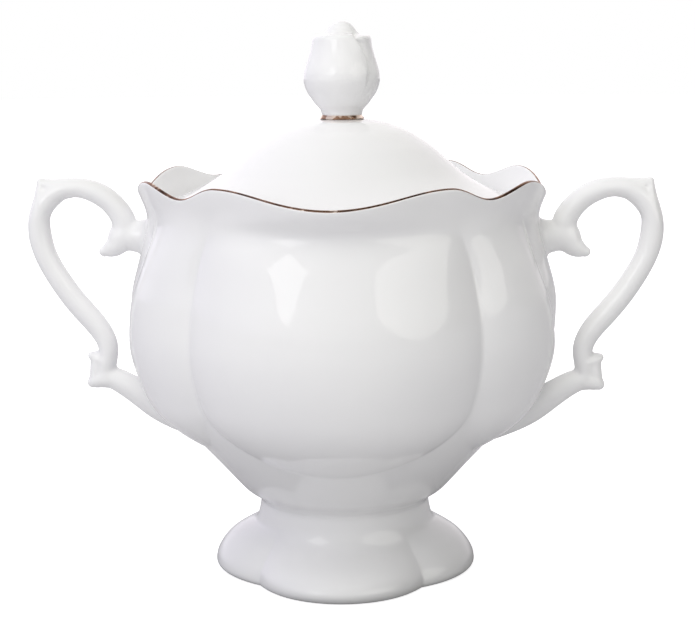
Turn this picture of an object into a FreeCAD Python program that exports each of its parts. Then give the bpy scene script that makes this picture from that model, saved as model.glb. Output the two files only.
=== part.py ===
import FreeCAD, Part
import math
import os

# Porcelain sugar bowl with two handles, a pedestal foot and a lift-off lid.
# Millimetres. +Z up, +X towards the right handle, -Y the front.
# The origin is on the table, under the middle of the bowl.

# ---- driving dimensions -------------------------------------------------------
WAIST_Z = 18.0              # bowl body and foot are luted together here
RIM_PEAK_Z = 99.85          # top of the rim, above the grooves between lobes
RIM_DIP = (3.65, 3.1, 4.3)   # how far the rim dips at a front, diagonal, side lobe
RIM_ZONE_Z = 84.0           # above this the rows of the bowl's surface follow the rim
GILDING_H = 0.3             # height of the fired gold on the crest of the rim

LEDGE_Z = 92.2              # the lid's flange rests here
LEDGE_DEPTH = 3.6           # height of the throat below the ledge
THROAT_R = 38.6
WALL = 3.0                  # wall of the bowl, measured radially
RIM_WALL = 2.2              # wall above the ledge
RIM_CREST_WALL = 1.3        # wall at the crest of the rim
FLOOR_Z = 21.5              # inside bottom of the bowl
FLOOR_DROP = 1.2            # the inside follows the outside this much higher up
THROAT_RUN = 7.0            # height over which the inside draws in to the throat

LID_GAP = 0.1               # between the lid's flange and the ledge
LID_SEAT_Z = LEDGE_Z + LID_GAP
LID_TOP_Z = 113.2
LID_FLANGE_R = 42.6
COLLAR_R = 37.9             # locating rim under the lid
COLLAR_WALL = 2.3
COLLAR_DEPTH = 5.0

KNOB_RING_H = 0.9
KNOB_RING_R = 5.5
KNOB_SPIGOT_R = 4.5

# Hollow under the foot: (r, z) from below its opening up to its flat top.
FOOT_HOLLOW = [(23.6, -1.0), (23.6, 0.0), (22.4, 4.0), (19.5, 8.5), (16.5, 12.0)]

# Curves of the bowl by height: (z, value). The floor runs along the grooves.
FLOOR_FRONT = [(15, 21.6), (18, 21.2), (22.3, 26.1), (27.7, 30.7), (32, 34.6), (36, 38.0),
               (40, 41.3), (46, 44.9), (56, 48.2), (62, 48.9), (69, 48.5), (79, 47.1),
               (90, 46.3), (92, 46.5), (94, 46.9), (96, 47.7), (98, 48.3), (102, 48.7)]
FLOOR_SIDE = [(15, 21.6), (18, 21.2), (22.3, 26.1), (27.7, 30.7), (32, 34.6), (36, 38.2),
              (40, 42.2), (46, 46.9), (54, 50.5), (60, 51.8), (69, 51.7), (79, 49.2),
              (90, 46.9), (94, 48.4), (97, 49.7), (99, 50.3), (102, 50.6)]
BULGE_FRONT = [(30, 5.0), (40, 5.0), (50, 4.6), (62, 4.3), (70, 4.3), (76, 4.2), (82, 3.7),
               (86, 2.8), (89, 1.7), (90.6, 1.5), (91.5, 2.2), (92.5, 3.4), (93.5, 4.2),
               (95, 4.6), (97, 4.6), (102, 4.4)]
BULGE_DIAGONAL = [(30, 4.4), (40, 4.2), (50, 3.2), (62, 2.8), (70, 2.8), (78, 2.7),
                  (83, 2.2), (87, 1.5), (90, 0.9), (96, -0.4), (102, -0.7)]
BULGE_SIDE = [(30, 0.0), (50, 0.0), (60, 0.6), (69, 1.1), (79, 1.3), (90, 1.1), (102, 1.0)]
FLARE_ZONE = (84.0, 96.0)   # the lobes turn into the waves of the rim between these heights
WAVE_Z = 98.0               # the rim's waves sit over the grooves as they are at this height
# Angles of the grooves from the front, in degrees, by height.
GROOVE_FRONT = [(18, 43.5), (65, 43.5), (80, 42.0), (88, 39.0), (96, 34.0), (102, 31.5)]
GROOVE_SIDE = [(18, 86.0), (55, 86.0), (62, 82.0), (70, 77.0), (78, 73.0), (87, 70.0),
               (96, 64.0), (102, 62.0)]
# Each lobe ends below in a half ellipse: (height of its centre, its half height).
LOBE_END = ((48.7, 17.0), (47.0, 12.5), (60.0, 8.0))
CUSHION_EDGE = 0.06         # how softly a lobe meets the groove
CUSHION_POWER = 0.75        # how full its section is

# Foot by height: its four crowns (sides, front and back), and the valleys between them.
FOOT_SIDE = [(0, 31.2), (0.6, 32.2), (1.6, 32.9), (3.3, 32.7), (5.3, 31.8), (7.1, 30.5),
             (8.6, 29.0), (9.8, 27.2), (11, 24.9), (12.2, 22.6), (15, 21.6), (18, 21.2),
             (22.3, 26.1)]
FOOT_FRONT = [(0, 31.9), (0.6, 32.8), (1.6, 33.4), (2.8, 33.4), (4, 32.8), (5.5, 31.0),
              (7, 28.3), (8.3, 25.7), (9.5, 23.8), (11, 22.6), (13, 21.8), (15, 21.4),
              (18, 21.2), (22.3, 26.1)]
FOOT_VALLEY = [(0, 27.7), (1, 28.1), (3, 27.7), (6, 26.0), (9, 23.9), (11, 22.6), (13, 21.9),
               (15, 21.5), (18, 21.2), (22.3, 26.1)]
FOOT_VALLEY_ANGLE = 46.0    # from the front, in degrees
FOOT_LOBE_POWER = 1.15      # how pointed the crowns are

# Lid dome: (r, z) of the outside, from the flange inwards.
LID_PROFILE = [(LID_FLANGE_R, 93.3), (39.8, 94.5), (36.0, 96.0), (33.0, 97.5), (29.2, 100.0),
               (25.7, 103.2), (21.6, 106.8), (16.0, 110.4), (10.5, 112.4),
               (KNOB_SPIGOT_R, LID_TOP_Z)]
# Inside of the dome: (r, z) from inside the collar up to the middle.
LID_INSIDE = [(35.4, LID_SEAT_Z), (33.0, 94.2), (29.2, 96.9), (25.7, 100.2), (21.6, 103.9),
              (16.0, 107.6), (10.5, 109.6), (0.0, 110.6)]
# Rosebud knob: (r, z) from its neck upwards.
KNOB_PROFILE = [(4.9, LID_TOP_Z + KNOB_RING_H), (4.8, 114.7), (5.9, 116.2), (7.2, 118.2),
                (8.7, 120.1), (9.4, 122.7), (9.1, 124.9), (8.4, 127.3), (7.6, 129.7),
                (7.2, 131.7), (6.9, 133.0)]
KNOB_TIP = [(6.9, 133.0), (5.5, 133.2), (4.3, 133.3), (3.2, 134.4), (1.5, 136.2), (0.0, 136.7)]

# Handle limbs in the X-Z plane: (x, z, half width, half depth in Y).
LOOP = [(59.7, 80.4, 1.3, 1.6), (58.4, 80.9, 2.05, 2.3), (56.9, 81.8, 2.6, 2.8),
        (55.3, 83.4, 2.9, 3.0), (54.6, 85.6, 3.0, 3.0), (54.6, 88.1, 3.0, 3.0),
        (55.8, 90.5, 2.85, 3.0), (58.2, 93.2, 2.75, 3.0), (61.4, 95.2, 2.65, 3.0),
        (65.4, 96.3, 2.4, 2.9), (69.6, 96.0, 2.5, 2.9), (73.1, 93.9, 2.8, 2.9),
        (75.6, 89.8, 2.6, 2.95), (75.9, 85.2, 2.8, 2.95), (74.6, 79.6, 2.75, 2.95),
        (71.7, 74.0, 2.75, 2.95), (67.8, 68.3, 2.8, 2.95), (63.6, 63.3, 2.8, 2.95),
        (60.6, 59.2, 2.6, 2.9), (59.5, 55.6, 2.45, 2.9), (60.1, 51.8, 2.5, 2.9),
        (60.3, 48.4, 2.4, 2.6)]
STUB = [(46.5, 84.0, 5.0, 4.4), (49.3, 84.1, 4.35, 3.6), (51.8, 84.2, 3.9, 3.2),
        (55.5, 84.2, 3.0, 2.9)]
CORNER_TOP = [(68.5, 96.2, 2.3, 2.6), (72.2, 96.7, 1.9, 2.2), (75.0, 97.7, 0.95, 1.4)]
CORNER_SIDE = [(75.1, 92.0, 2.3, 2.5), (75.0, 95.2, 1.65, 2.1), (75.1, 97.7, 0.95, 1.4)]
ARM = [(63.8, 46.95, 1.25, 1.9), (61.9, 47.7, 2.1, 2.5), (59.4, 48.2, 2.65, 2.8),
       (56.3, 47.1, 2.95, 3.0), (51.1, 43.8, 3.4, 3.1), (46.6, 40.9, 3.8, 3.3),
       (41.5, 38.2, 3.7, 3.4), (37.0, 35.9, 3.2, 3.3), (33.0, 33.9, 2.6, 3.0)]
BRACKET_TOP = [(60.2, 52.6, 2.5, 2.8), (62.1, 53.4, 1.7, 2.3), (63.8, 53.9, 0.95, 1.7)]
BRACKET_SIDE = [(62.4, 53.2, 1.7, 2.2), (62.4, 50.6, 1.9, 2.3), (62.7, 47.8, 1.9, 2.3)]

RING_POINTS = 120           # points round a ring of the bowl or the foot
SECTION_POINTS = 12         # points round a section of the handle
BOWL_ROWS = 30              # rings up the outside of the bowl
CAVITY_ROWS = 26            # rings down its inside
POCKET_ROWS = 6             # rings from the crest of the rim down to the ledge
FOOT_ROWS = 19


def curve(points, at):
    """Value of a smooth curve through (place, value) points, never overshooting them."""
    if at <= points[0][0]:
        return points[0][1]
    if at >= points[-1][0]:
        return points[-1][1]
    slopes = [(b[1] - a[1]) / (b[0] - a[0]) for a, b in zip(points, points[1:])]
    i = max(k for k in range(len(slopes)) if points[k][0] <= at)

    def tangent(k):
        if k == 0 or k == len(slopes):
            return slopes[min(k, len(slopes) - 1)]
        a, b = slopes[k - 1], slopes[k]
        return 0.0 if a * b <= 0 else 2 * a * b / (a + b)

    h = points[i + 1][0] - points[i][0]
    s = (at - points[i][0]) / h
    return ((1 + 2 * s) * (1 - s) ** 2 * points[i][1] + s * (1 - s) ** 2 * h * tangent(i)
            + s * s * (3 - 2 * s) * points[i + 1][1] - s * s * (1 - s) * h * tangent(i + 1))


def blend(low, high, at):
    s = min(1.0, max(0.0, (at - low) / (high - low)))
    return s * s * (3 - 2 * s)


def folded(angle):
    """Angle from the nearer of the front and the back, 0 to 90 degrees."""
    a = abs((angle + 180.0) % 360.0 - 180.0)
    return min(a, 180.0 - a)


def lobe_at(angle, first, second):
    """Which lobe an angle is in (0 front, 1 diagonal, 2 side), and where in it, -1 to 1."""
    a = folded(angle)
    if a < first:
        return 0, a / first
    if a < second:
        return 1, (2 * a - first - second) / (second - first)
    return 2, (90.0 - a) / (90.0 - second)


def swell(s):
    """Height of a lobe's cushion from its place inside the lobe's outline."""
    return (s * s / (s + CUSHION_EDGE)) ** CUSHION_POWER if s > 0 else 0.0


def bowl_radius(angle, z):
    first, second = curve(GROOVE_FRONT, z), curve(GROOVE_SIDE, z)
    lobe, u = lobe_at(angle, first, second)
    across = blend(first, second, folded(angle))
    floor = curve(FLOOR_FRONT, z) * (1 - across) + curve(FLOOR_SIDE, z) * across
    bulge = curve((BULGE_FRONT, BULGE_DIAGONAL, BULGE_SIDE)[lobe], z)
    centre, half_height = LOBE_END[lobe]
    v = max(0.0, (centre - z) / half_height)
    flare = blend(*FLARE_ZONE, z)
    shape = (1 - flare) * swell(1 - u * u - v * v) + flare * (1 + math.cos(math.pi * u)) / 2
    return floor + bulge * shape


def rim_height(angle):
    lobe, u = lobe_at(angle, curve(GROOVE_FRONT, WAVE_Z), curve(GROOVE_SIDE, WAVE_Z))
    return RIM_PEAK_Z - RIM_DIP[lobe] * (1 + math.cos(math.pi * u)) / 2


def around(radius, angle, z):
    """A point at an angle from the front (-Y), turning towards +X."""
    a = math.radians(angle)
    return FreeCAD.Vector(radius * math.sin(a), -radius * math.cos(a), z)


def spline(points, closed):
    """Smooth curve through the points, which are evenly spaced along its parameter."""
    line = Part.BSplineCurve()
    last = len(points) if closed else len(points) - 1
    steps = [i / last for i in range(last + 1)]
    line.interpolate(Points=points, PeriodicFlag=closed, Parameters=steps)
    return line


def ring(point_at):
    return spline([point_at(360.0 * i / RING_POINTS) for i in range(RING_POINTS)], True)


def wire(closed_line):
    return Part.Wire([closed_line.toShape()])


def skin(rings):
    """Smooth face through closed splines that share their knots."""
    columns = [spline([one.getPole(j + 1) for one in rings], False)
               for j in range(rings[0].NbPoles)]
    surface = Part.BSplineSurface()
    surface.buildFromPolesMultsKnots(
        [column.getPoles() for column in columns], rings[0].getMultiplicities(),
        columns[0].getMultiplicities(), rings[0].getKnots(), columns[0].getKnots(),
        True, False, 3, columns[0].Degree)
    return surface.toShape()


def band(one, other):
    """Face with straight sides from one ring to the other."""
    return Part.makeRuledSurface(one.toShape(), other.toShape())


def sewn(faces):
    shell = Part.makeShell(faces)
    shell.sewShape()
    return Part.Solid(shell)


def evenly(first, last, count):
    return [first + (last - first) * i / (count - 1) for i in range(count)]


def outside_ring(height, below_crest):
    """Ring of the bowl's outside. Near the top the rings bend until they follow the rim."""
    def point(angle):
        bend = blend(RIM_ZONE_Z, RIM_PEAK_Z, height)
        z = height - (RIM_PEAK_Z - rim_height(angle) + below_crest) * bend
        return around(bowl_radius(angle, z), angle, z)
    return ring(point)


def pocket_ring(part_way, below_crest):
    """Ring inside the rim, from the ledge (0) to the crest (1)."""
    def point(angle):
        z = LEDGE_Z + (rim_height(angle) - below_crest - LEDGE_Z) * part_way
        wall = RIM_WALL + (RIM_CREST_WALL - RIM_WALL) * part_way
        return around(bowl_radius(angle, z) - wall, angle, z)
    return ring(point)


def cavity_ring(z):
    def point(angle):
        to_throat = blend(LEDGE_Z - LEDGE_DEPTH - THROAT_RUN, LEDGE_Z - LEDGE_DEPTH, z)
        inside = bowl_radius(angle, max(z - FLOOR_DROP, WAIST_Z)) - WALL
        return around(inside * (1 - to_throat) + THROAT_R * to_throat, angle, z)
    return ring(point)


def make_bowl():
    outside = [outside_ring(h, GILDING_H) for h in evenly(WAIST_Z, RIM_PEAK_Z, BOWL_ROWS)]
    pocket = [pocket_ring(k, GILDING_H) for k in evenly(1.0, 0.0, POCKET_ROWS)]
    cavity = [cavity_ring(z) for z in evenly(LEDGE_Z, FLOOR_Z, CAVITY_ROWS)]
    ledge = Part.makeFace([wire(pocket[-1]), wire(cavity[0])], "Part::FaceMakerBullseye")
    faces = [skin(outside), band(outside[-1], pocket[0]), skin(pocket), ledge, skin(cavity)]
    return sewn(faces + [Part.Face(wire(cavity[-1])), Part.Face(wire(outside[0]))])


def make_rim_gilding():
    """Closed band on the crest of the rim, standing on the bowl's top edge."""
    rings = [outside_ring(RIM_PEAK_Z, GILDING_H), outside_ring(RIM_PEAK_Z, 0.0),
             pocket_ring(1.0, 0.0), pocket_ring(1.0, GILDING_H)]
    return sewn([band(one, other) for one, other in zip(rings, rings[1:] + rings[:1])])


def filled(radius_at, heights):
    """Full solid of the shape that has radius_at(angle, z)."""
    rings = [ring(lambda a, z=z: around(radius_at(a, z), a, z)) for z in heights]
    return sewn([skin(rings), Part.Face(wire(rings[0])), Part.Face(wire(rings[-1]))])


def foot_radius(angle, z):
    a = folded(angle)
    if a < FOOT_VALLEY_ANGLE:
        crown, u = curve(FOOT_FRONT, z), a / FOOT_VALLEY_ANGLE
    else:
        crown, u = curve(FOOT_SIDE, z), (90.0 - a) / (90.0 - FOOT_VALLEY_ANGLE)
    valley = curve(FOOT_VALLEY, z)
    return valley + (crown - valley) * (1 - u * u) ** FOOT_LOBE_POWER


def make_foot():
    hollow = FOOT_HOLLOW + [(0, FOOT_HOLLOW[-1][1]), (0, FOOT_HOLLOW[0][1])]
    return filled(foot_radius, evenly(0.0, WAIST_Z, FOOT_ROWS)).cut(turned(corners(hollow)))


def section(centre, across, half_width, half_depth):
    """Oval section of a limb. across is the unit vector over the limb in its plane."""
    points = []
    for i in range(SECTION_POINTS):
        a = 2 * math.pi * i / SECTION_POINTS
        points.append(centre + across * (half_width * math.cos(a))
                      + FreeCAD.Vector(0, half_depth * math.sin(a), 0))
    return spline(points, True)


def limb(path):
    """Smooth tapering limb through (x, z, half width, half depth)."""
    sections = []
    for i, (x, z, half_width, half_depth) in enumerate(path):
        before, after = path[max(i - 1, 0)], path[min(i + 1, len(path) - 1)]
        along = FreeCAD.Vector(after[0] - before[0], 0, after[1] - before[1]).normalize()
        across = FreeCAD.Vector(-along.z, 0, along.x)
        sections.append(section(FreeCAD.Vector(x, 0, z), across, half_width, half_depth))
    return sewn([skin(sections), Part.Face(wire(sections[0])), Part.Face(wire(sections[-1]))])


def make_handle():
    others = (STUB, CORNER_TOP, CORNER_SIDE, ARM, BRACKET_TOP, BRACKET_SIDE)
    bowl = filled(bowl_radius, evenly(WAIST_Z, LEDGE_Z, BOWL_ROWS))
    return limb(LOOP).fuse([limb(path) for path in others]).cut(bowl).removeSplitter()


def corners(points):
    """Edges of a closed outline with straight sides, in the X-Z plane."""
    return Part.makePolygon([FreeCAD.Vector(r, 0, z) for r, z in points + points[:1]]).Edges


def open_line(points):
    return Part.makePolygon([FreeCAD.Vector(r, 0, z) for r, z in points]).Edges


def smooth_line(points):
    line = Part.BSplineCurve()
    line.interpolate([FreeCAD.Vector(r, 0, z) for r, z in points])
    return [line.toShape()]


def turned(edges):
    """Solid of revolution of a closed outline about Z."""
    face = Part.Face(Part.Wire(Part.__sortEdges__(edges)))
    solid = face.revolve(FreeCAD.Vector(0, 0, 0), FreeCAD.Vector(0, 0, 1), 360)
    return Part.Solid(solid) if solid.ShapeType == "Shell" else solid


def make_lid_shell():
    top = open_line([LID_PROFILE[-1], (0.0, LID_TOP_Z), LID_INSIDE[-1]])
    seat = open_line([LID_INSIDE[0], (LID_FLANGE_R, LID_SEAT_Z), LID_PROFILE[0]])
    return turned(smooth_line(LID_PROFILE) + top + smooth_line(LID_INSIDE) + seat)


def tube(outer, inner, low, high):
    return turned(corners([(inner, low), (outer, low), (outer, high), (inner, high)]))


def make_knob():
    base = KNOB_PROFILE[0]
    edges = open_line([KNOB_TIP[-1], (0.0, LID_TOP_Z), (KNOB_SPIGOT_R, LID_TOP_Z),
                       (KNOB_SPIGOT_R, base[1]), base])
    return turned(edges + smooth_line(KNOB_PROFILE) + smooth_line(KNOB_TIP))


def main():
    os.makedirs("parts", exist_ok=True)
    handle = make_handle()
    nodes = {
        "bowl_body": make_bowl(),
        "bowl_foot": make_foot(),
        "handle_right": handle,
        "handle_left": handle.mirror(FreeCAD.Vector(0, 0, 0), FreeCAD.Vector(1, 0, 0)),
        "rim_gilding": make_rim_gilding(),
        "lid_shell": make_lid_shell(),
        "lid_locating_rim": tube(COLLAR_R, COLLAR_R - COLLAR_WALL,
                                 LID_SEAT_Z - COLLAR_DEPTH, LID_SEAT_Z),
        "lid_knob": make_knob(),
        "knob_gilding": tube(KNOB_RING_R, KNOB_SPIGOT_R, LID_TOP_Z, LID_TOP_Z + KNOB_RING_H),
    }
    for name, shape in nodes.items():
        shape.exportStep("parts/" + name + ".step")
        print(name, shape.isValid(), len(shape.Solids), round(shape.Volume / 1000, 2), "cm3")


main()
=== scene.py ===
import math

import bpy
import numpy as np
from mathutils import Matrix, Vector


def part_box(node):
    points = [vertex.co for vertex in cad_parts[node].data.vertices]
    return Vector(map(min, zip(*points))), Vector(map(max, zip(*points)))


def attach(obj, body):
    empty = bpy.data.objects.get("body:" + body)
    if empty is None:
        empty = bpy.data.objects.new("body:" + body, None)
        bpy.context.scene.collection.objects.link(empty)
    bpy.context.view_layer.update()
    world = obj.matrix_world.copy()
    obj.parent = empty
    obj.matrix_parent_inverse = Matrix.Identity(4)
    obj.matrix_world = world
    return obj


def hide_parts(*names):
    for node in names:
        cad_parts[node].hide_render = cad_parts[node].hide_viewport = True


# Looks of a porcelain sugar bowl with two handles, a pedestal foot and a lid.
# Shapes are worked out in millimetres and turned into metres when a mesh is made.
# An angle is measured round Z from the front (-Y) towards the right handle (+X).

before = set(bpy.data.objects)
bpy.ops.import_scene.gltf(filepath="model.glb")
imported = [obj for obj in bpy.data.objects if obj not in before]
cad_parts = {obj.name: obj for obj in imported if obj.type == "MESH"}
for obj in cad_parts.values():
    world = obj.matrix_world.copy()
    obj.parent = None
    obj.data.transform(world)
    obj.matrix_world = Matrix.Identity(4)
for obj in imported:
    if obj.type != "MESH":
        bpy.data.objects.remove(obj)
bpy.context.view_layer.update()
MM = 0.001


def low_z(node):
    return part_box(node)[0].z / MM


def high_z(node):
    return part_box(node)[1].z / MM


# ---- heights that come from the frame -----------------------------------------
WAIST_Z = low_z("bowl_body")
RIM_PEAK_Z = high_z("rim_gilding")
LID_SEAT_Z = low_z("lid_shell")
LID_TOP_Z = high_z("lid_shell")
COLLAR_LOW_Z = low_z("lid_locating_rim")
COLLAR_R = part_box("lid_locating_rim")[1].x / MM
KNOB_RING_TOP_Z = high_z("knob_gilding")
KNOB_RING_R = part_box("knob_gilding")[1].x / MM
KNOB_TOP_Z = high_z("lid_knob")

# ---- the bowl -------------------------------------------------------------------
RIM_DIP = (3.65, 3.1, 4.3)   # how far the rim dips at a front, diagonal, side lobe
RIM_ZONE_Z = 84.0           # above this the rows of the mesh follow the rim
FLARE_ZONE = (84.0, 96.0)   # the lobes turn into the waves of the rim between these
WAVE_Z = 98.0
CREST = 0.62                # half thickness of the rounded crest of the rim
LEDGE_Z = LID_SEAT_Z - 0.1
LEDGE_FILLET = 0.8
THROAT_ROUND = 0.5
THROAT_DROP = 3.6
THROAT_RUN = 7.0
THROAT_R = 38.6
WALL = 3.0
RIM_WALL = 2.2
FLOOR_Z = 21.5
FLOOR_DROP = 1.2

# Curves by height, (z, value). A lobe swells by its bulge out of the floor between the
# grooves, whose angles run from the front. They follow the CAD model.
FLOOR_FRONT = [(15, 21.6), (18, 21.2), (22.3, 26.1), (27.7, 30.7), (32, 34.6), (36, 38.0),
               (40, 41.3), (46, 44.9), (56, 48.2), (62, 48.9), (69, 48.5), (79, 47.1),
               (90, 46.3), (92, 46.5), (94, 46.9), (96, 47.7), (98, 48.3), (102, 48.7)]
FLOOR_SIDE = [(15, 21.6), (18, 21.2), (22.3, 26.1), (27.7, 30.7), (32, 34.6), (36, 38.2),
              (40, 42.2), (46, 46.9), (54, 50.5), (60, 51.8), (69, 51.7), (79, 49.2),
              (90, 46.9), (94, 48.4), (97, 49.7), (99, 50.3), (102, 50.6)]
BULGE_FRONT = [(30, 5.0), (40, 5.0), (50, 4.6), (62, 4.3), (70, 4.3), (76, 4.2), (82, 3.7),
               (86, 2.8), (89, 1.7), (90.6, 1.5), (91.5, 2.2), (92.5, 3.4), (93.5, 4.2),
               (95, 4.6), (97, 4.6), (102, 4.4)]
BULGE_DIAGONAL = [(30, 4.4), (40, 4.2), (50, 3.2), (62, 2.8), (70, 2.8), (78, 2.7),
                  (83, 2.2), (87, 1.5), (90, 0.9), (96, -0.4), (102, -0.7)]
BULGE_SIDE = [(30, 0.0), (50, 0.0), (60, 0.6), (69, 1.1), (79, 1.3), (90, 1.1), (102, 1.0)]
GROOVE_FRONT = [(18, 43.5), (65, 43.5), (80, 42.0), (88, 39.0), (96, 34.0), (102, 31.5)]
GROOVE_SIDE = [(18, 86.0), (55, 86.0), (62, 82.0), (70, 77.0), (78, 73.0), (87, 70.0),
               (96, 64.0), (102, 62.0)]
LOBE_END = ((48.7, 17.0), (47.0, 12.5), (60.0, 8.0))   # (height, reach) of the end below each
CUSHION_EDGE = 0.06         # how softly a lobe leaves its groove
CUSHION_POWER = 0.75        # how full a lobe is across
# Foot by height: its four crowns (sides, front and back), and the valleys between them.
FOOT_SIDE = [(0, 31.2), (0.6, 32.2), (1.6, 32.9), (3.3, 32.7), (5.3, 31.8), (7.1, 30.5),
             (8.6, 29.0), (9.8, 27.2), (11, 24.9), (12.2, 22.6), (15, 21.6), (18, 21.2),
             (22.3, 26.1)]
FOOT_FRONT = [(0, 31.9), (0.6, 32.8), (1.6, 33.4), (2.8, 33.4), (4, 32.8), (5.5, 31.0),
              (7, 28.3), (8.3, 25.7), (9.5, 23.8), (11, 22.6), (13, 21.8), (15, 21.4),
              (18, 21.2), (22.3, 26.1)]
FOOT_VALLEY = [(0, 27.7), (1, 28.1), (3, 27.7), (6, 26.0), (9, 23.9), (11, 22.6), (13, 21.9),
               (15, 21.5), (18, 21.2), (22.3, 26.1)]
FOOT_VALLEY_ANGLE = 46.0    # from the front, in degrees
FOOT_LOBE_POWER = 1.15
FOOT_HOLLOW = [(23.6, 0.0), (22.4, 4.0), (19.5, 8.5), (16.5, 12.0), (0.0, 12.0)]
FOOT_EDGE = 0.8             # rounding of the edge that stands on the table

# ---- the lid ----------------------------------------------------------------------
LID_OUTSIDE = [(42.6, 93.3), (39.8, 94.5), (36.0, 96.0), (33.0, 97.5), (29.2, 100.0),
               (25.7, 103.2), (21.6, 106.8), (16.0, 110.4), (10.5, 112.4),
               (4.5, 113.2), (0.0, 113.2)]
LID_INSIDE = [(35.4, 92.3), (33.0, 94.2), (29.2, 96.9), (25.7, 100.2), (21.6, 103.9),
              (16.0, 107.6), (10.5, 109.6), (0.0, 110.6)]
COLLAR_WALL = 2.3

# ---- the handles: limbs in the X-Z plane, (x, z, half width, half depth in Y) ---
LOOP = [(59.7, 80.4, 1.3, 1.6), (58.4, 80.9, 2.05, 2.3), (56.9, 81.8, 2.6, 2.8),
        (55.3, 83.4, 2.9, 3.0), (54.6, 85.6, 3.0, 3.0), (54.6, 88.1, 3.0, 3.0),
        (55.8, 90.5, 2.85, 3.0), (58.2, 93.2, 2.75, 3.0), (61.4, 95.2, 2.65, 3.0),
        (65.4, 96.3, 2.4, 2.9), (69.6, 96.0, 2.5, 2.9), (73.1, 93.9, 2.8, 2.9),
        (75.6, 89.8, 2.6, 2.95), (75.9, 85.2, 2.8, 2.95), (74.6, 79.6, 2.75, 2.95),
        (71.7, 74.0, 2.75, 2.95), (67.8, 68.3, 2.8, 2.95), (63.6, 63.3, 2.8, 2.95),
        (60.6, 59.2, 2.6, 2.9), (59.5, 55.6, 2.45, 2.9), (60.1, 51.8, 2.5, 2.9),
        (60.3, 48.4, 2.4, 2.6)]
STUB = [(46.5, 84.0, 5.0, 4.4), (49.3, 84.1, 4.35, 3.6), (51.8, 84.2, 3.9, 3.2),
        (55.5, 84.2, 3.0, 2.9)]
CORNER_TOP = [(68.5, 96.2, 2.3, 2.6), (72.2, 96.7, 1.9, 2.2), (75.0, 97.7, 0.95, 1.4)]
CORNER_SIDE = [(75.1, 92.0, 2.3, 2.5), (75.0, 95.2, 1.65, 2.1), (75.1, 97.7, 0.95, 1.4)]
ARM = [(63.8, 46.95, 1.25, 1.9), (61.9, 47.7, 2.1, 2.5), (59.4, 48.2, 2.65, 2.8),
       (56.3, 47.1, 2.95, 3.0), (51.1, 43.8, 3.4, 3.1), (46.6, 40.9, 3.8, 3.3),
       (41.5, 38.2, 3.7, 3.4), (37.0, 35.9, 3.2, 3.3), (33.0, 33.9, 2.6, 3.0)]
BRACKET_TOP = [(60.2, 52.6, 2.5, 2.8), (62.1, 53.4, 1.7, 2.3), (63.8, 53.9, 0.95, 1.7)]
BRACKET_SIDE = [(62.4, 53.2, 1.7, 2.2), (62.4, 50.6, 1.9, 2.3), (62.7, 47.8, 1.9, 2.3)]

SKIRT_DEPTH = 0.1           # the foot of the fillet runs out this far under the glaze
SKIRT_SOFT = 1.6            # fillet where a handle meets the bowl
SKIRT_WIDTH = 4.0           # how far the fillet may spread from a limb
LIMB_SOFT = 0.9             # fillet between limbs
SPUR_SOFT = 0.6             # fillet of the small points at the corner and the bracket
HANDLE_ROOT = 1.6           # how deep a handle's ends are set into the wall
HANDLE_BOX = ((32.0, -8.0, 26.0), (80.0, 8.0, 101.0))
HANDLE_STEP = 0.45          # size of the mesh of a handle
FAR = 5.0                   # a limb's field is only worked out this near to it

# ---- gold on the rim's crest ------------------------------------------------------
GOLD_TURNS = (42, 122)      # degrees over the crest, from its outer foot
GOLD_PROUD = 0.03           # it stands this far out of the glaze
GOLD_BED = 0.05             # and reaches this far into it

AROUND = 480                # points round the bowl and the foot


# ---- smooth curves -----------------------------------------------------------------
def bell(spread, step):
    """Weights of a normalised bell curve, sampled every step."""
    reach = int(math.ceil(3 * spread / step))
    weights = np.exp(-0.5 * (np.arange(-reach, reach + 1) * step / spread) ** 2)
    return weights / weights.sum()


def softened(values, spread, step):
    """A row of values, or of points, with its bends softened over a length."""
    weights = bell(spread, step)
    reach = len(weights) // 2
    before = 2 * values[0] - values[reach:0:-1]
    after = 2 * values[-1] - values[-2:-reach - 2:-1]
    full = np.concatenate([before, values, after])
    if full.ndim == 1:
        return np.convolve(full, weights, "valid")
    return np.stack([np.convolve(c, weights, "valid") for c in full.T], axis=1)


def hermite(x, y, at):
    """Smooth curve through points that never overshoots them."""
    slopes = np.diff(y) / np.diff(x)
    product = slopes[:-1] * slopes[1:]
    steady = product > 0
    middle = np.where(steady, 2 * product / np.where(steady, slopes[:-1] + slopes[1:], 1), 0)
    tangents = np.concatenate([slopes[:1], middle, slopes[-1:]])
    i = np.clip(np.searchsorted(x, at, "right") - 1, 0, len(slopes) - 1)
    h = x[i + 1] - x[i]
    s = np.clip((at - x[i]) / h, 0, 1)
    return ((1 + 2 * s) * (1 - s) ** 2 * y[i] + s * (1 - s) ** 2 * h * tangents[i]
            + s * s * (3 - 2 * s) * y[i + 1] - s * s * (1 - s) * h * tangents[i + 1])


def by_height(points, spread=1.6, crisp=0.35, crisp_below=0.0):
    """Function of height: a smooth curve through (z, value) points. Its bends are
    softened over spread, or over crisp at low heights, where the waist is a tight corner."""
    x, y = np.array(points, float).T
    step = 0.05
    grid = np.arange(x[0], x[-1] + step / 2, step)
    line = hermite(x, y, grid)
    values = softened(line, spread, step)
    if crisp_below:
        smooth = blend(crisp_below, crisp_below + 6.0, grid)
        values = smooth * values + (1 - smooth) * softened(line, crisp, step)
    return lambda z: np.interp(z, grid, values)


def blend(low, high, at):
    s = np.clip((at - low) / (high - low), 0, 1)
    return s * s * (3 - 2 * s)


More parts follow.
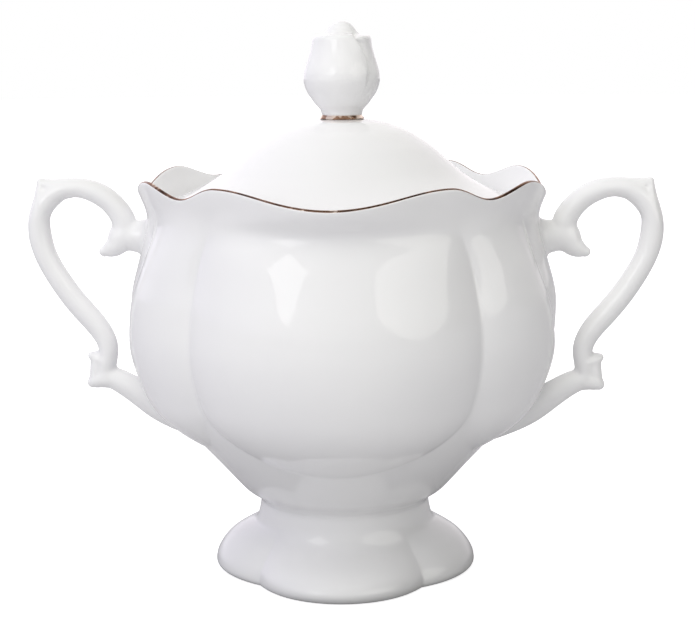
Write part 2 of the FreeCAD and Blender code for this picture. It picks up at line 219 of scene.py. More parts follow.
wall_front = by_height(FLOOR_FRONT, 2.0, crisp_below=20.0)
wall_side = by_height(FLOOR_SIDE, 2.0, crisp_below=20.0)
foot_side, foot_front = by_height(FOOT_SIDE, 0.35), by_height(FOOT_FRONT, 0.8)
foot_valley = by_height(FOOT_VALLEY, 0.35)
bulges = [by_height(points, 0.9) for points in (BULGE_FRONT, BULGE_DIAGONAL, BULGE_SIDE)]
groove_front = by_height(GROOVE_FRONT, 2.5)
groove_side = by_height(GROOVE_SIDE, 2.5)


# ---- the lobed shapes ----------------------------------------------------------------
def folded(angle):
    a = np.abs((angle + 180.0) % 360.0 - 180.0)
    return np.minimum(a, 180.0 - a)


def lobe_at(angle, first, second):
    """Which lobe an angle is in (0 front, 1 diagonal, 2 side), and where in it, -1 to 1."""
    a = folded(angle)
    lobe = (a >= first).astype(int) + (a >= second)
    return lobe, np.choose(lobe, [a / first, (2 * a - first - second) / (second - first),
                                  (90.0 - a) / (90.0 - second)])


def swell(s):
    s = np.maximum(s, 0)
    return (s * s / (s + CUSHION_EDGE)) ** CUSHION_POWER


def bowl_radius(angle, z):
    angle, z = np.broadcast_arrays(angle, z)
    first, second = groove_front(z), groove_side(z)
    lobe, u = lobe_at(angle, first, second)
    across = blend(first, second, folded(angle))
    floor = wall_front(z) * (1 - across) + wall_side(z) * across
    bulge = np.choose(lobe, [curve(z) for curve in bulges])
    v = np.choose(lobe, [np.maximum(0, (centre - z) / half) for centre, half in LOBE_END])
    flare = blend(*FLARE_ZONE, z)
    shape = (1 - flare) * swell(1 - u * u - v * v) + flare * (1 + np.cos(np.pi * u)) / 2
    return floor + bulge * shape


def foot_radius(angle, z):
    a = folded(angle)
    u = np.minimum(a / FOOT_VALLEY_ANGLE, (90.0 - a) / (90.0 - FOOT_VALLEY_ANGLE))
    crown = np.where(a < FOOT_VALLEY_ANGLE, foot_front(z), foot_side(z))
    valley = foot_valley(z)
    return valley + (crown - valley) * (1 - u * u) ** FOOT_LOBE_POWER


def rim_height(angle):
    lobe, u = lobe_at(angle, groove_front(WAVE_Z), groove_side(WAVE_Z))
    return RIM_PEAK_Z - np.choose(lobe, RIM_DIP) * (1 + np.cos(np.pi * u)) / 2


# ---- meshes -------------------------------------------------------------------------
def new_object(name, points, faces, sharp=None):
    """Object in metres from points in millimetres, smooth except over the sharp angle."""
    mesh = bpy.data.meshes.new(name)
    mesh.from_pydata((np.asarray(points) * MM).tolist(), [], [list(map(int, f)) for f in faces])
    mesh.validate()
    mesh.shade_smooth()
    if sharp:
        mesh.set_sharp_from_angle(angle=math.radians(sharp))
    piece = bpy.data.objects.new(name, mesh)
    bpy.context.scene.collection.objects.link(piece)
    return piece


def ring_faces(rows, around, loop):
    """Quads between rows of points. With loop, the last row joins the first."""
    j = np.arange(around)
    faces = []
    for i in range(rows if loop else rows - 1):
        a, b = i * around, (i + 1) % rows * around
        faces.append(np.stack([a + j, a + (j + 1) % around, b + (j + 1) % around, b + j], 1))
    return np.concatenate(faces)


def round_piece(name, rows, ends=None, sharp=None):
    """Closed mesh through rings of (radius, z) by angle. It closes with a fan at the
    centre height of each end, or, without ends, the last ring joins the first."""
    rings, around = len(rows), max(len(np.atleast_1d(r)) for r, z in rows)
    a = np.radians(np.arange(around) * 360.0 / around)
    points = np.empty((rings, around, 3))
    for row, (r, z) in zip(points, rows):
        row[:, 0], row[:, 1], row[:, 2] = r * np.sin(a), -r * np.cos(a), z
    points = points.reshape(-1, 3)
    faces = ring_faces(rings, around, ends is None).tolist()
    if ends:
        first, last = len(points), len(points) + 1
        points = np.vstack([points, [(0, 0, ends[0]), (0, 0, ends[1])]])
        j = np.arange(around)
        faces += np.stack([np.full(around, first), (j + 1) % around, j], 1).tolist()
        top = (rings - 1) * around
        faces += np.stack([np.full(around, last), top + j, top + (j + 1) % around], 1).tolist()
    return new_object(name, points, faces, sharp)


ANGLES = np.arange(AROUND) * 360.0 / AROUND


def crest_frame(angle):
    """Outer foot of the crest, and the directions across and up the wall there."""
    z = rim_height(angle) - CREST
    slope = (bowl_radius(angle, z) - bowl_radius(angle, z - 1.0))
    length = np.sqrt(1 + slope ** 2)
    z = rim_height(angle) - CREST * (1 + slope / length)
    r = bowl_radius(angle, z)
    return r, z, slope / length, 1 / length


def crest_point(angle, turn, lift=0.0):
    """Point on the rounded crest: turn 0 is its outer foot, 180 its inner foot."""
    r, z, s, c = crest_frame(angle)
    reach, t = CREST + lift, math.radians(turn)
    across = CREST - reach * math.cos(t)
    up = reach * math.sin(t)
    return r - across * c + up * s, z + across * s + up * c


def bowl_outside(height):
    """Ring of the outside. Near the top the rings bend until they follow the crest."""
    crest_z = crest_frame(ANGLES)[1]
    bend = blend(RIM_ZONE_Z, RIM_PEAK_Z, height)
    z = height + (crest_z - RIM_PEAK_Z) * bend
    return bowl_radius(ANGLES, z), z


def fillet(z, low, radius):
    """How far a wall draws in, just above a floor at low, to round the corner."""
    k = np.clip(1 - (z - low) / radius, 0, 1)
    return radius * (1 - np.sqrt(1 - k * k))


def pocket(part_way):
    """Ring inside the rim, from the ledge (0) to the crest (1)."""
    crest_r, crest_z = crest_point(ANGLES, 180.0)
    z = LEDGE_Z + (crest_z - LEDGE_Z) * part_way
    crest_wall = bowl_radius(ANGLES, crest_z) - crest_r
    wall = RIM_WALL + (crest_wall - RIM_WALL) * part_way
    return bowl_radius(ANGLES, z) - wall - fillet(z, LEDGE_Z, LEDGE_FILLET), z


def cavity(z):
    to_throat = blend(LEDGE_Z - THROAT_DROP - THROAT_RUN, LEDGE_Z - THROAT_DROP, z)
    inside = bowl_radius(ANGLES, z - FLOOR_DROP) - WALL
    return inside * (1 - to_throat) + THROAT_R * to_throat, z


def profile_rows(points, spread, step=0.5):
    """A line through (r, z) points, in equal steps, with its corners softened."""
    points = np.array(points, float)
    along = np.concatenate([[0], np.cumsum(np.hypot(*np.diff(points, axis=0).T))])
    fine = 0.1
    at = np.linspace(0, along[-1], int(along[-1] / fine) + 2)
    line = np.stack([np.interp(at, along, c) for c in points.T], 1)
    line = softened(line, spread, at[1])
    skip = max(1, int(round(step / at[1])))
    return [tuple(p) for p in line[::skip]] + [tuple(line[-1])]


def make_bowl():
    rows = [bowl_outside(h) for h in np.linspace(WAIST_Z, RIM_PEAK_Z, 190)]
    rows += [crest_point(ANGLES, turn) for turn in np.linspace(0, 180, 15)[1:-1]]
    rows += [pocket(k) for k in 1 - np.linspace(0, 1, 24) ** 0.8]
    ledge_r, ledge_z = rows[-1]
    inner = THROAT_R + THROAT_ROUND
    rows += [(ledge_r + (inner - ledge_r) * k, LEDGE_Z) for k in np.linspace(0, 1, 9)[1:]]
    rows += [(inner - THROAT_ROUND * math.sin(t), LEDGE_Z - THROAT_ROUND * (1 - math.cos(t)))
             for t in np.radians(np.linspace(0, 90, 7)[1:])]
    rows += [cavity(z) for z in np.linspace(LEDGE_Z - THROAT_ROUND, 30.0, 120)[1:]]
    bottom = [(float(cavity(z)[0][0]), z) for z in np.linspace(30.0, FLOOR_Z, 20)]
    rows += profile_rows(bottom + [(0.0, FLOOR_Z)], 1.5, 0.6)[1:-1]
    rows = [(np.broadcast_to(r, AROUND), z) for r, z in rows]
    piece = round_piece("bowl", rows, (WAIST_Z, FLOOR_Z), sharp=50)
    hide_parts("bowl_body")
    return piece


def make_foot():
    rows = []
    for z in np.concatenate([np.linspace(WAIST_Z, FOOT_EDGE, 76),
                             FOOT_EDGE * (1 - np.sin(np.radians(np.linspace(0, 90, 8))))[1:]]):
        rows.append((foot_radius(ANGLES, z) - fillet(z, 0.0, FOOT_EDGE), z))
    hollow_r = FOOT_HOLLOW[0][0] + FOOT_EDGE
    outer_r = rows[-1][0]
    rows += [(outer_r + (hollow_r - outer_r) * k, 0.0) for k in np.linspace(0, 1, 8)[1:]]
    hollow = profile_rows([(hollow_r, 0.0)] + FOOT_HOLLOW, 0.5, 0.4)
    rows += [(np.full(AROUND, r), z) for r, z in hollow[1:-1]]
    rows = [(np.broadcast_to(r, AROUND), z) for r, z in rows]
    piece = round_piece("foot", rows, (WAIST_Z, FOOT_HOLLOW[-1][1]), sharp=50)
    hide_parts("bowl_foot")
    return piece


def make_rim_gilding():
    """Fired gold along the top of the crest, a closed skin just proud of the glaze."""
    turns = np.linspace(*GOLD_TURNS, 10)
    rows = [crest_point(ANGLES, t, GOLD_PROUD) for t in turns]
    rows += [crest_point(ANGLES, t, -GOLD_BED) for t in turns[::-1]]
    piece = round_piece("rim_gold", rows)
    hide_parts("rim_gilding")
    return piece


def turned(name, rows, ends=None, around=360):
    return round_piece(name, [(np.full(around, r), z) for r, z in rows], ends)


def make_lid():
    flange = [(LID_INSIDE[0][0], LID_SEAT_Z), (42.0, LID_SEAT_Z), (42.6, LID_SEAT_Z + 0.5)]
    outside = profile_rows(LID_OUTSIDE[:-1], 1.3)
    outside = [(r, z) for r, z in outside if r > 4.6] + [(4.5, LID_TOP_Z), (2.0, LID_TOP_Z)]
    edge = profile_rows(flange + outside[:2], 0.25, 0.15)[:-1]
    inside = profile_rows(LID_INSIDE[::-1], 1.0)
    rows = inside[1:] + edge[1:] + outside[1:]
    piece = turned("lid_dome", rows, (inside[0][1], LID_TOP_Z))
    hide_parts("lid_shell")
    return piece


def make_collar():
    inner = COLLAR_R - COLLAR_WALL
    line = [(inner, LID_SEAT_Z), (inner, COLLAR_LOW_Z), (COLLAR_R, COLLAR_LOW_Z),
            (COLLAR_R, LID_SEAT_Z)]
    piece = turned("lid_collar", profile_rows(line, 0.35, 0.2))
    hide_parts("lid_locating_rim")
    return piece


# ---- handles, as the level surface of a field ---------------------------------------
def surface_net(field, low, step):
    """Closed quad mesh of the zero level of a field sampled on a grid."""
    cells = tuple(n - 1 for n in field.shape)
    total, count = np.zeros(cells + (3,)), np.zeros(cells)
    crossings = []
    for axis in range(3):
        a = np.moveaxis(field, axis, 0)[:-1]
        b = np.moveaxis(field, axis, 0)[1:]
        cross = (a < 0) != (b < 0)
        t = np.where(cross, a / np.where(cross, a - b, 1), 0)
        crossings.append((cross, a < 0))
        sums, counts = np.moveaxis(total, axis, 0), np.moveaxis(count, axis, 0)
        others = [k for k in range(3) if k != axis]
        for o1 in (0, 1):
            for o2 in (0, 1):
                part = (slice(None), slice(o1, o1 + cells[others[0]]), slice(o2, o2 + cells[others[1]]))
                counts += cross[part]
                sums[..., axis] += t[part]
                sums[..., others[0]] += o1 * cross[part]
                sums[..., others[1]] += o2 * cross[part]
    active = count > 0
    index = np.full(cells, -1)
    index[active] = np.arange(active.sum())
    place = total[active] / count[active][:, None] + np.argwhere(active)
    faces = []
    for axis, (cross, inside) in enumerate(crossings):
        ids = np.moveaxis(index, axis, 0)
        inner = cross[:, 1:-1, 1:-1]
        quad = np.stack([ids[:, :-1, :-1], ids[:, 1:, :-1], ids[:, 1:, 1:], ids[:, :-1, 1:]], -1)
        flip = inside[:, 1:-1, 1:-1] ^ (axis == 1)
        faces.append(quad[inner & flip])
        faces.append(quad[inner & ~flip][:, ::-1])
    return place * step + np.array(low), np.concatenate(faces)


def level_surface(field, low, high, step, rounds=4):
    """Mesh of field = 0 between two corners, relaxed and pulled onto the exact level."""
    coarse = 4
    sizes = [int(math.ceil((b - a) / (coarse * step))) for a, b in zip(low, high)]
    blocks = np.stack(np.meshgrid(*map(np.arange, sizes), indexing="ij"), -1).reshape(-1, 3)
    middles = np.array(low) + (blocks + 0.5) * coarse * step
    reach = 1.5 * coarse * step
    blocks_field = field(middles)
    inner = np.stack(np.meshgrid(*[np.arange(coarse)] * 3, indexing="ij"), -1).reshape(-1, 3)
    near = np.abs(blocks_field) < reach
    grid = (blocks[near, None] * coarse + inner[None]).reshape(-1, 3)
    fine = field(np.array(low) + grid * step)
    values = np.empty([n * coarse for n in sizes])
    values[tuple((blocks[:, None] * coarse + inner[None]).reshape(-1, 3).T)] = np.repeat(
        blocks_field, len(inner))
    values[tuple(grid.T)] = fine
    points, faces = surface_net(values, low, step)
    edges = np.concatenate([faces[:, [k, (k + 1) % 4]] for k in range(4)])
    for _ in range(rounds):
        mean, share = np.zeros_like(points), np.zeros(len(points))
        np.add.at(mean, edges[:, 0], points[edges[:, 1]])
        np.add.at(mean, edges[:, 1], points[edges[:, 0]])
        np.add.at(share, edges.ravel(), 1)
        points = 0.5 * points + 0.5 * mean / share[:, None]
        d = 0.01
        here = field(points)
        slope = np.stack([(field(points + d * e) - here) / d for e in np.eye(3)], 1)
        size = np.maximum((slope ** 2).sum(1), 0.2)
        points = points - slope * np.clip(here / size, -step, step)[:, None]
    return points, faces


def fine_path(points, step=0.4):
    """A smooth line through the points of a limb, every step along it."""
    points = np.array(points, float)
    along = np.concatenate([[0], np.cumsum(np.hypot(*np.diff(points[:, :2], axis=0).T))])
    at = np.linspace(0, along[-1], int(along[-1] / step) + 2)
    if len(points) < 4:
        line = np.stack([np.interp(at, along, c) for c in points.T], 1)
    else:
        line = np.stack([cubic(along, c, at) for c in points.T], 1)
    return softened(line, 0.6, at[1])


def cubic(x, y, at):
    """Natural cubic spline through points."""
    n, h = len(x), np.diff(x)
    matrix, right = np.eye(n), np.zeros(n)
    for i in range(1, n - 1):
        matrix[i, i - 1:i + 2] = h[i - 1], 2 * (h[i - 1] + h[i]), h[i]
        right[i] = 6 * ((y[i + 1] - y[i]) / h[i] - (y[i] - y[i - 1]) / h[i - 1])
    m = np.linalg.solve(matrix, right)
    i = np.clip(np.searchsorted(x, at, "right") - 1, 0, n - 2)
    a, b, k = x[i + 1] - at, at - x[i], h[i]
    return ((m[i] * a ** 3 + m[i + 1] * b ** 3) / (6 * k) + (y[i] / k - m[i] * k / 6) * a
            + (y[i + 1] / k - m[i + 1] * k / 6) * b)


def limb_field(path):
    """About the distance to a limb of oval section, below zero inside it."""
    line = fine_path(path)
    a, b = line[:-1], line[1:]
    run = b[:, :2] - a[:, :2]
    square = (run ** 2).sum(1)
    reach = line[:, 2].max() + FAR
    low, high = line[:, :2].min(0) - reach, line[:, :2].max(0) + reach

    def part(points):
        offset = points[:, None, ::2] - a[None, :, :2]
        t = np.clip((offset * run).sum(2) / square, 0, 1)
        gap = offset - t[..., None] * run
        near = (gap ** 2).sum(2)
        k = near.argmin(1)
        i = np.arange(len(points))
        size = a[k, 2:] + (b[k, 2:] - a[k, 2:]) * t[i, k][:, None]
        w, h = size[:, 0], size[:, 1]
        in_plane, y = np.sqrt(near[i, k]), np.abs(points[:, 1])
        scaled = np.sqrt((in_plane / w) ** 2 + (y / h) ** 2)
        slope = np.sqrt((in_plane / w ** 2) ** 2 + (y / h ** 2) ** 2)
        return scaled * (scaled - 1) / np.maximum(slope, 1e-6)

    def field(points):
        values = np.full(len(points), FAR)
        place = points[:, ::2]
        near = np.flatnonzero(((place > low) & (place < high)).all(1))
        for some in np.array_split(near, len(near) // 10000 + 1):
            values[some] = part(points[some])
        return values
    return field


def joined(a, b, soft):
    """Union of two fields with a soft fillet between them."""
    h = np.clip(0.5 + 0.5 * (b - a) / soft, 0, 1)
    return b + (a - b) * h - soft * h * (1 - h)


def outside_bowl(points):
    """About the distance from the bowl's outside, below zero in its wall."""
    angle = np.degrees(np.arctan2(points[:, 0], -points[:, 1]))
    z = points[:, 2]
    r = np.hypot(points[:, 0], points[:, 1])
    slope = (bowl_radius(angle, z + 0.5) - bowl_radius(angle, z - 0.5))
    return (r - bowl_radius(angle, z)) / np.sqrt(1 + slope ** 2)


def handle_field():
    loop, stub, arm = limb_field(LOOP), limb_field(STUB), limb_field(ARM)
    corner = limb_field(CORNER_TOP), limb_field(CORNER_SIDE)
    bracket = limb_field(BRACKET_TOP), limb_field(BRACKET_SIDE)

    def field(points):
        f = joined(loop(points), joined(corner[0](points), corner[1](points), 0.5), SPUR_SOFT)
        f = joined(f, stub(points), LIMB_SOFT)
        f = joined(f, joined(bracket[0](points), bracket[1](points), SPUR_SOFT), 0.5)
        f = joined(f, arm(points), LIMB_SOFT)
        wall = outside_bowl(points)
        skirt = joined(f, wall + SKIRT_DEPTH, SKIRT_SOFT)
        return np.maximum(np.maximum(skirt, -wall - HANDLE_ROOT), f - SKIRT_WIDTH)
    return field


def make_handles():
    points, faces = level_surface(handle_field(), *HANDLE_BOX, HANDLE_STEP)
    pieces = []
    for name, side in (("handle_right", 1), ("handle_left", -1)):
        turned_faces = faces if side > 0 else faces[:, ::-1]
        piece = new_object(name + "_glazed", points * (side, 1, 1), turned_faces)
        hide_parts(name)
        pieces.append(piece)
    return pieces


# ---- knob ------------------------------------------------------------------------------
# Rosebud: (r, z, azimuth of the front petal's free edge, how far the petals stand apart).
ROSEBUD = [(4.4, LID_TOP_Z, 40, 0), (4.4, 113.8, 40, 0), (4.95, 114.1, 40, 0),
           (5.0, 114.8, 42, 0), (5.3, 115.5, 42, 0), (6.25, 116.5, 42, 0), (7.4, 118.05, 43, 0),
           (8.4, 119.6, 44, 0), (8.85, 120.6, 45, 0.05), (9.15, 121.6, 46, 0.2),
           (9.34, 122.7, 46, 0.35), (9.3, 123.9, 48, 0.5), (9.02, 125.3, 50, 0.75),
           (8.4, 127.3, 51, 0.95), (7.7, 129.6, 47, 1.0), (7.25, 131.6, 39, 1.0),
           (7.1, 132.5, 33, 0.9), (6.7, 133.05, 31, 0.8), (5.6, 133.3, 35, 0.65),
           (4.6, 133.45, 42, 0.5), (3.95, 133.9, 48, 0.5), (3.45, 134.6, 48, 0.45),
           (2.9, 135.35, 46, 0.4), (2.15, 136.05, 44, 0.3), (1.2, 136.5, 44, 0.15),
           (0.0, KNOB_TOP_Z, 44, 0)]
PETAL_EDGES = (0.0, 110.0, 203.0)       # the free edges of the three petals, from the first
PETAL_LIFT = 0.5                         # a free edge stands this far out
PETAL_SINK = 0.85                        # and the petal under it dips this far in
EDGE_WIDTH = 6.0                         # degrees over which a free edge turns in
DIP_WIDTH = 15.0                         # degrees of the dip beside it


def petals(angle, edge):
    """How far the surface stands out, in shares of the petals' spread."""
    out = np.zeros_like(angle)
    for start, end in zip(PETAL_EDGES, PETAL_EDGES[1:] + (360.0,)):
        w = (angle - edge - start) % 360.0
        span = end - start
        inside = w <= span
        to_end = span - w
        rise = PETAL_LIFT * blend(0.35 * span, 0.9 * span, w)
        dip = -PETAL_SINK * np.exp(-(w / DIP_WIDTH) ** 2)
        edge_turn = blend(0.0, EDGE_WIDTH, to_end)
        value = dip * (1 - blend(span - EDGE_WIDTH, span, w)) + rise * edge_turn \
            - PETAL_SINK * (1 - edge_turn)
        out = np.where(inside, value, out)
    return out


def make_knob():
    table = np.array(ROSEBUD, float)
    around, step = 480, 0.16
    along = np.concatenate([[0], np.cumsum(np.hypot(*np.diff(table[:, :2], axis=0).T))])
    at = np.arange(0, along[-1], step / 4)
    line = np.stack([hermite(along, c, at) for c in table.T], 1)
    line = softened(line, 0.3, step / 4)[::4]
    line[:, 0] = np.maximum(line[:, 0], 0.05)
    tangent = np.gradient(line[:, :2], axis=0)
    tangent /= np.hypot(*tangent.T)[:, None]
    angle = np.arange(around) * 360.0 / around
    rows = []
    for (r, z, edge, share), (tr, tz) in zip(line, tangent):
        out = share * petals(angle, edge) * np.clip(r / 2.5, 0, 1)
        rows.append((np.maximum(r + out * tz, 0.02), z - out * tr))
    top = rows[-1][1].mean()
    piece = round_piece("rosebud_knob", rows[:-1], (LID_TOP_Z, top))
    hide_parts("lid_knob")
    return piece


def make_knob_ring():
    r, top = KNOB_RING_R, KNOB_RING_TOP_Z
    line = [(4.3, LID_TOP_Z), (r, LID_TOP_Z), (r - 0.1, LID_TOP_Z + 0.25), (5.05, LID_TOP_Z + 0.6),
            (4.95, top), (4.3, top)]
    piece = turned("knob_gold_ring", profile_rows(line, 0.1, 0.08), None, 240)
    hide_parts("knob_gilding")
    return piece


# ---- materials -------------------------------------------------------------------------
def node(tree, kind, inputs=None, **settings):
    made = tree.nodes.new(kind)
    for key, value in settings.items():
        setattr(made, key, value)
    for key, value in (inputs or {}).items():
        if isinstance(value, bpy.types.NodeSocket):
            tree.links.new(value, made.inputs[key])
        else:
            made.inputs[key].default_value = value
    return made


def new_material(name):
    material = bpy.data.materials.new(name)
    material.use_nodes = True
    tree = material.node_tree
    tree.nodes.clear()
    shader = node(tree, "ShaderNodeBsdfPrincipled")
    node(tree, "ShaderNodeOutputMaterial", {"Surface": shader.outputs[0]})
    return material, tree, shader


def noise(tree, place, scale, detail=2.0):
    return node(tree, "ShaderNodeTexNoise", {"Vector": place, "Scale": scale, "Detail": detail,
                                             "Roughness": 0.5}).outputs[0]


def spread_over(tree, value, low, high, out_low, out_high):
    return node(tree, "ShaderNodeMapRange", {0: value, 1: low, 2: high, 3: out_low, 4: out_high},
                clamp=True).outputs[0]


def ramp(tree, value, stops):
    made = node(tree, "ShaderNodeValToRGB", {0: value})
    line = made.color_ramp
    while len(line.elements) < len(stops):
        line.elements.new(0.5)
    for element, (at, colour) in zip(line.elements, stops):
        element.position, element.color = at, (*colour, 1.0)
    return made.outputs[0]


def make_porcelain(name):
    """White glazed porcelain: faint changes of tone and gloss, and very slight waves."""
    material, tree, shader = new_material(name)
    place = node(tree, "ShaderNodeTexCoord").outputs["Object"]
    tone = noise(tree, place, 28.0, 3.0)
    colour = ramp(tree, tone, [(0.3, (0.868, 0.868, 0.873)), (0.7, (0.892, 0.891, 0.890))])
    tree.links.new(colour, shader.inputs["Base Color"])
    gloss = noise(tree, place, 60.0, 2.0)
    tree.links.new(spread_over(tree, gloss, 0.3, 0.7, 0.035, 0.06), shader.inputs["Roughness"])
    waves = noise(tree, place, 45.0, 1.0)
    bump = node(tree, "ShaderNodeBump", {"Height": waves, "Strength": 0.05, "Distance": 0.0006})
    tree.links.new(bump.outputs[0], shader.inputs["Normal"])
    shader.inputs["IOR"].default_value = 1.5
    return material


def make_gold(name):
    """Fired gold: noise spreads it between dark copper brown, partly wear and partly painted dark
    reflection, and cream specks that are painted glints, with more painted glint on the knob's ring.
    """
    material, tree, shader = new_material(name)
    place = node(tree, "ShaderNodeTexCoord").outputs["Object"]
    height = node(tree, "ShaderNodeSeparateXYZ", {0: place}).outputs["Z"]
    # Above 0.105 m the value is lifted, so the knob's ring gets more painted glint.
    ring_painted_glint = spread_over(tree, height, 0.105, 0.110, 0.0, 0.12)    # metres up
    wear_and_painted_glint = node(tree, "ShaderNodeMath", {0: noise(tree, place, 300.0, 2.0), 1: ring_painted_glint},
                operation="ADD").outputs[0]
    # The brown stops are partly wear and partly painted reflection; the cream stop is a painted glint.
    colour = ramp(tree, wear_and_painted_glint, [(0.36, (0.12, 0.065, 0.045)), (0.50, (0.30, 0.17, 0.11)),
                               (0.62, (0.36, 0.21, 0.14)), (0.70, (1.0, 0.84, 0.70))])
    tree.links.new(colour, shader.inputs["Base Color"])
    tree.links.new(spread_over(tree, wear_and_painted_glint, 0.3, 0.7, 0.16, 0.3), shader.inputs["Roughness"])
    bump = node(tree, "ShaderNodeBump", {"Height": wear_and_painted_glint, "Strength": 0.1, "Distance": 0.00005})
    tree.links.new(bump.outputs[0], shader.inputs["Normal"])
    shader.inputs["Metallic"].default_value = 1.0
    return material


# ---- studio ----------------------------------------------------------------------------
# The floor as the bowl sees it, near and far: darker and glowing less near the middle, a painted shade
# under the bowl. The camera sees it plain white, its tones a touch lower near the middle as a faint
# painted shade.
FLOOR_SHADE_REACH = (0.03, 0.085)     # metres from the middle
FLOOR_BOUNCE_SHADED = (0.21, 0.5)
FLOOR_GLOW_SHADED = (0.05, 0.19)
FLOOR_TONES = (0.62, 0.64)     # as the camera sees it
FLOOR_LIGHT = (0.8, 0.82)
# Light from the left, from behind and from the front.
WORLD_SIDES = (((-1, 0, 0), (0.42, 0.41, 0.55)), ((0, 1, 0), (1.2, 1.15, 1.18)),
               ((0, -1, 0), (0.98, 0.98, 0.95)))


def make_floor():
    """A wide round floor. The bowl is lit by its own tones, darker and dimmer near the middle as a
    painted shade under the bowl, and the camera sees others.
    """
    n = 96
    a = np.arange(n) * 2 * np.pi / n
    radius = 3.0 / MM
    points = np.stack([radius * np.sin(a), -radius * np.cos(a), np.full(n, -0.02)], 1)
    floor = new_object("floor", points, [list(range(n))])
    material, tree, shader = new_material("pale_floor")
    place = node(tree, "ShaderNodeTexCoord").outputs["Object"]
    away = node(tree, "ShaderNodeVectorMath", {0: place}, operation="LENGTH").outputs["Value"]
    # 0 at the middle to 1 further out: near the middle the floor is darker and glows less, a painted
    #                                   shade under the bowl.
    share = spread_over(tree, away, *FLOOR_SHADE_REACH, 0.0, 1.0)
    shaded_bounce, seen = shader, node(tree, "ShaderNodeBsdfPrincipled")
    for one, tones, glows in ((shaded_bounce, FLOOR_BOUNCE_SHADED, FLOOR_GLOW_SHADED),
                              (seen, FLOOR_TONES, FLOOR_LIGHT)):
        colour = ramp(tree, share, [(0.0, (tones[0],) * 3), (1.0, (tones[1],) * 3)])
        tree.links.new(colour, one.inputs["Base Color"])
        tree.links.new(spread_over(tree, share, 0.0, 1.0, *glows), one.inputs["Emission Strength"])
        one.inputs["Roughness"].default_value = 0.9
        one.inputs["Specular IOR Level"].default_value = 0.0
    shaded_bounce.inputs["Emission Color"].default_value = (0.95, 0.93, 1.0, 1)
    seen.inputs["Emission Color"].default_value = (1, 1, 1, 1)
    path = node(tree, "ShaderNodeLightPath")
    mix = node(tree, "ShaderNodeMixShader", {0: path.outputs["Is Camera Ray"],
                                             1: shaded_bounce.outputs[0], 2: seen.outputs[0]})
    tree.links.new(mix.outputs[0], tree.nodes["Material Output"].inputs["Surface"])
    floor.data.materials.append(material)


def softbox(name, azimuth, elevation, width, height, radiance, turn=0.0, colour=(1, 1, 1),
            distance=1.3):
    """Area light that faces the bowl. Azimuth is to the right of the front."""
    light = bpy.data.lights.new(name, "AREA")
    light.shape = "RECTANGLE"
    light.size, light.size_y = width, height
    light.energy = radiance * math.pi * width * height
    light.color = colour
    lamp = bpy.data.objects.new(name, light)
    a, e = math.radians(azimuth), math.radians(elevation)
    middle = Vector((0, 0, 0.06))
    direction = Vector((math.sin(a) * math.cos(e), -math.cos(a) * math.cos(e), math.sin(e)))
    lamp.location = middle + distance * direction
    lamp.rotation_euler = (direction.to_track_quat("Z", "Y") @ Matrix.Rotation(
        math.radians(turn), 3, "Z").to_quaternion()).to_euler()
    lamp.visible_camera = False
    bpy.context.scene.collection.objects.link(lamp)
    return lamp


def make_world():
    world = bpy.data.worlds.new("studio")
    bpy.context.scene.world = world
    world.use_nodes = True
    tree = world.node_tree
    tree.nodes.clear()
    direction = node(tree, "ShaderNodeTexCoord").outputs["Generated"]
    light = (0.0, 0.0, 0.0)
    for side, colour in WORLD_SIDES:
        toward = node(tree, "ShaderNodeVectorMath", {0: direction, 1: side}, operation="DOT_PRODUCT")
        lit = node(tree, "ShaderNodeMath", {0: toward.outputs["Value"], 1: 0.0}, operation="MAXIMUM")
        light = node(tree, "ShaderNodeVectorMath", {0: lit.outputs[0], 1: colour, 2: light},
                     operation="MULTIPLY_ADD").outputs[0]
    lighting = node(tree, "ShaderNodeBackground", {"Color": light, "Strength": 1.0})
    seen = node(tree, "ShaderNodeBackground", {"Color": (1, 1, 1, 1), "Strength": 1.0})
    path = node(tree, "ShaderNodeLightPath")
    mix = node(tree, "ShaderNodeMixShader", {0: path.outputs["Is Camera Ray"],
                                             1: lighting.outputs[0], 2: seen.outputs[0]})
    node(tree, "ShaderNodeOutputWorld", {"Surface": mix.outputs[0]})


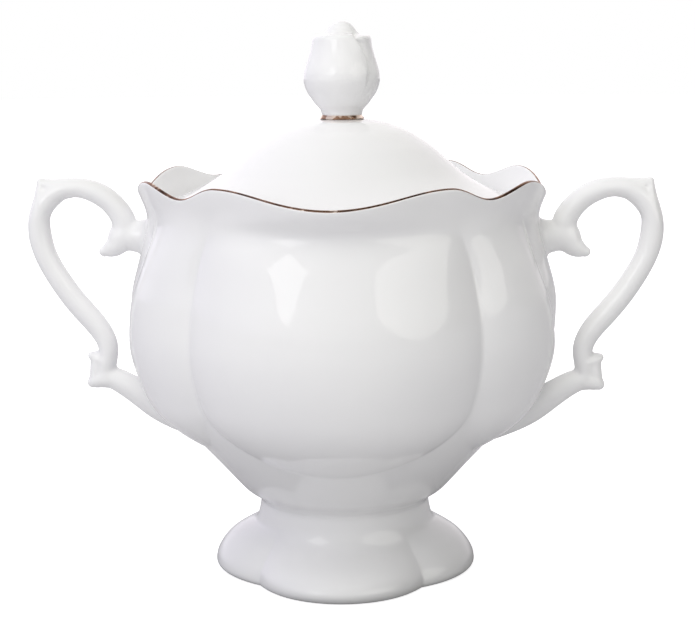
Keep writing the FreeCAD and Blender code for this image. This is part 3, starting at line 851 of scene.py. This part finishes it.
# ---- camera ----------------------------------------------------------------------------
CAMERA_DISTANCE = 0.4073
CAMERA_AZIMUTH = 3.14
CAMERA_ELEVATION = 10.14
CAMERA_ROLL = -0.41
CAMERA_ASIDE = 0.0010
CAMERA_TARGET = Vector((0, 0, 0.06275))


def make_camera():
    data = bpy.data.cameras.new("camera")
    data.sensor_width, data.lens = 36.0, 84.4
    data.clip_start, data.clip_end = 0.01, 50.0
    camera = bpy.data.objects.new("camera", data)
    a, e = math.radians(CAMERA_AZIMUTH), math.radians(CAMERA_ELEVATION)
    direction = Vector((math.sin(a) * math.cos(e), -math.cos(a) * math.cos(e), math.sin(e)))
    turn = direction.to_track_quat("Z", "Y").to_matrix() @ Matrix.Rotation(
        math.radians(CAMERA_ROLL), 3, "Z")
    camera.matrix_world = Matrix.Translation(
        CAMERA_TARGET + direction * CAMERA_DISTANCE + turn.col[0] * CAMERA_ASIDE) @ turn.to_4x4()
    bpy.context.scene.collection.objects.link(camera)
    bpy.context.scene.camera = camera


# ---- the scene ---------------------------------------------------------------------------
bowl_pieces = [make_bowl()]
bowl_pieces.append(make_foot())
bowl_pieces += make_handles()
lid_pieces = [make_lid(), make_collar(), make_knob()]
rim_gold, knob_gold = make_rim_gilding(), make_knob_ring()
porcelain, gold = make_porcelain("porcelain"), make_gold("fired_gold")
for piece in bowl_pieces + lid_pieces:
    piece.data.materials.append(porcelain)
for piece in (rim_gold, knob_gold):
    piece.data.materials.append(gold)
for piece in bowl_pieces + [rim_gold]:
    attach(piece, "bowl")
for piece in lid_pieces + [knob_gold]:
    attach(piece, "lid")

make_floor()
make_world()
softbox("softbox_left", -31.5, 18.0, 0.46, 0.46, 1.8, 50.0)
umbrella = softbox("umbrella_right", 53.0, 14.0, 1.35, 0.75, 1.1, 0.0, (1.0, 0.99, 0.93))
umbrella.data.shape = "ELLIPSE"
umbrella.visible_diffuse = False
above = softbox("softbox_top", -20.0, 70.0, 1.0, 1.0, 2.8, 0.0, (1.0, 1.0, 0.94))
above.visible_glossy = False
make_camera()
bpy.context.scene.view_settings.view_transform = "Standard"
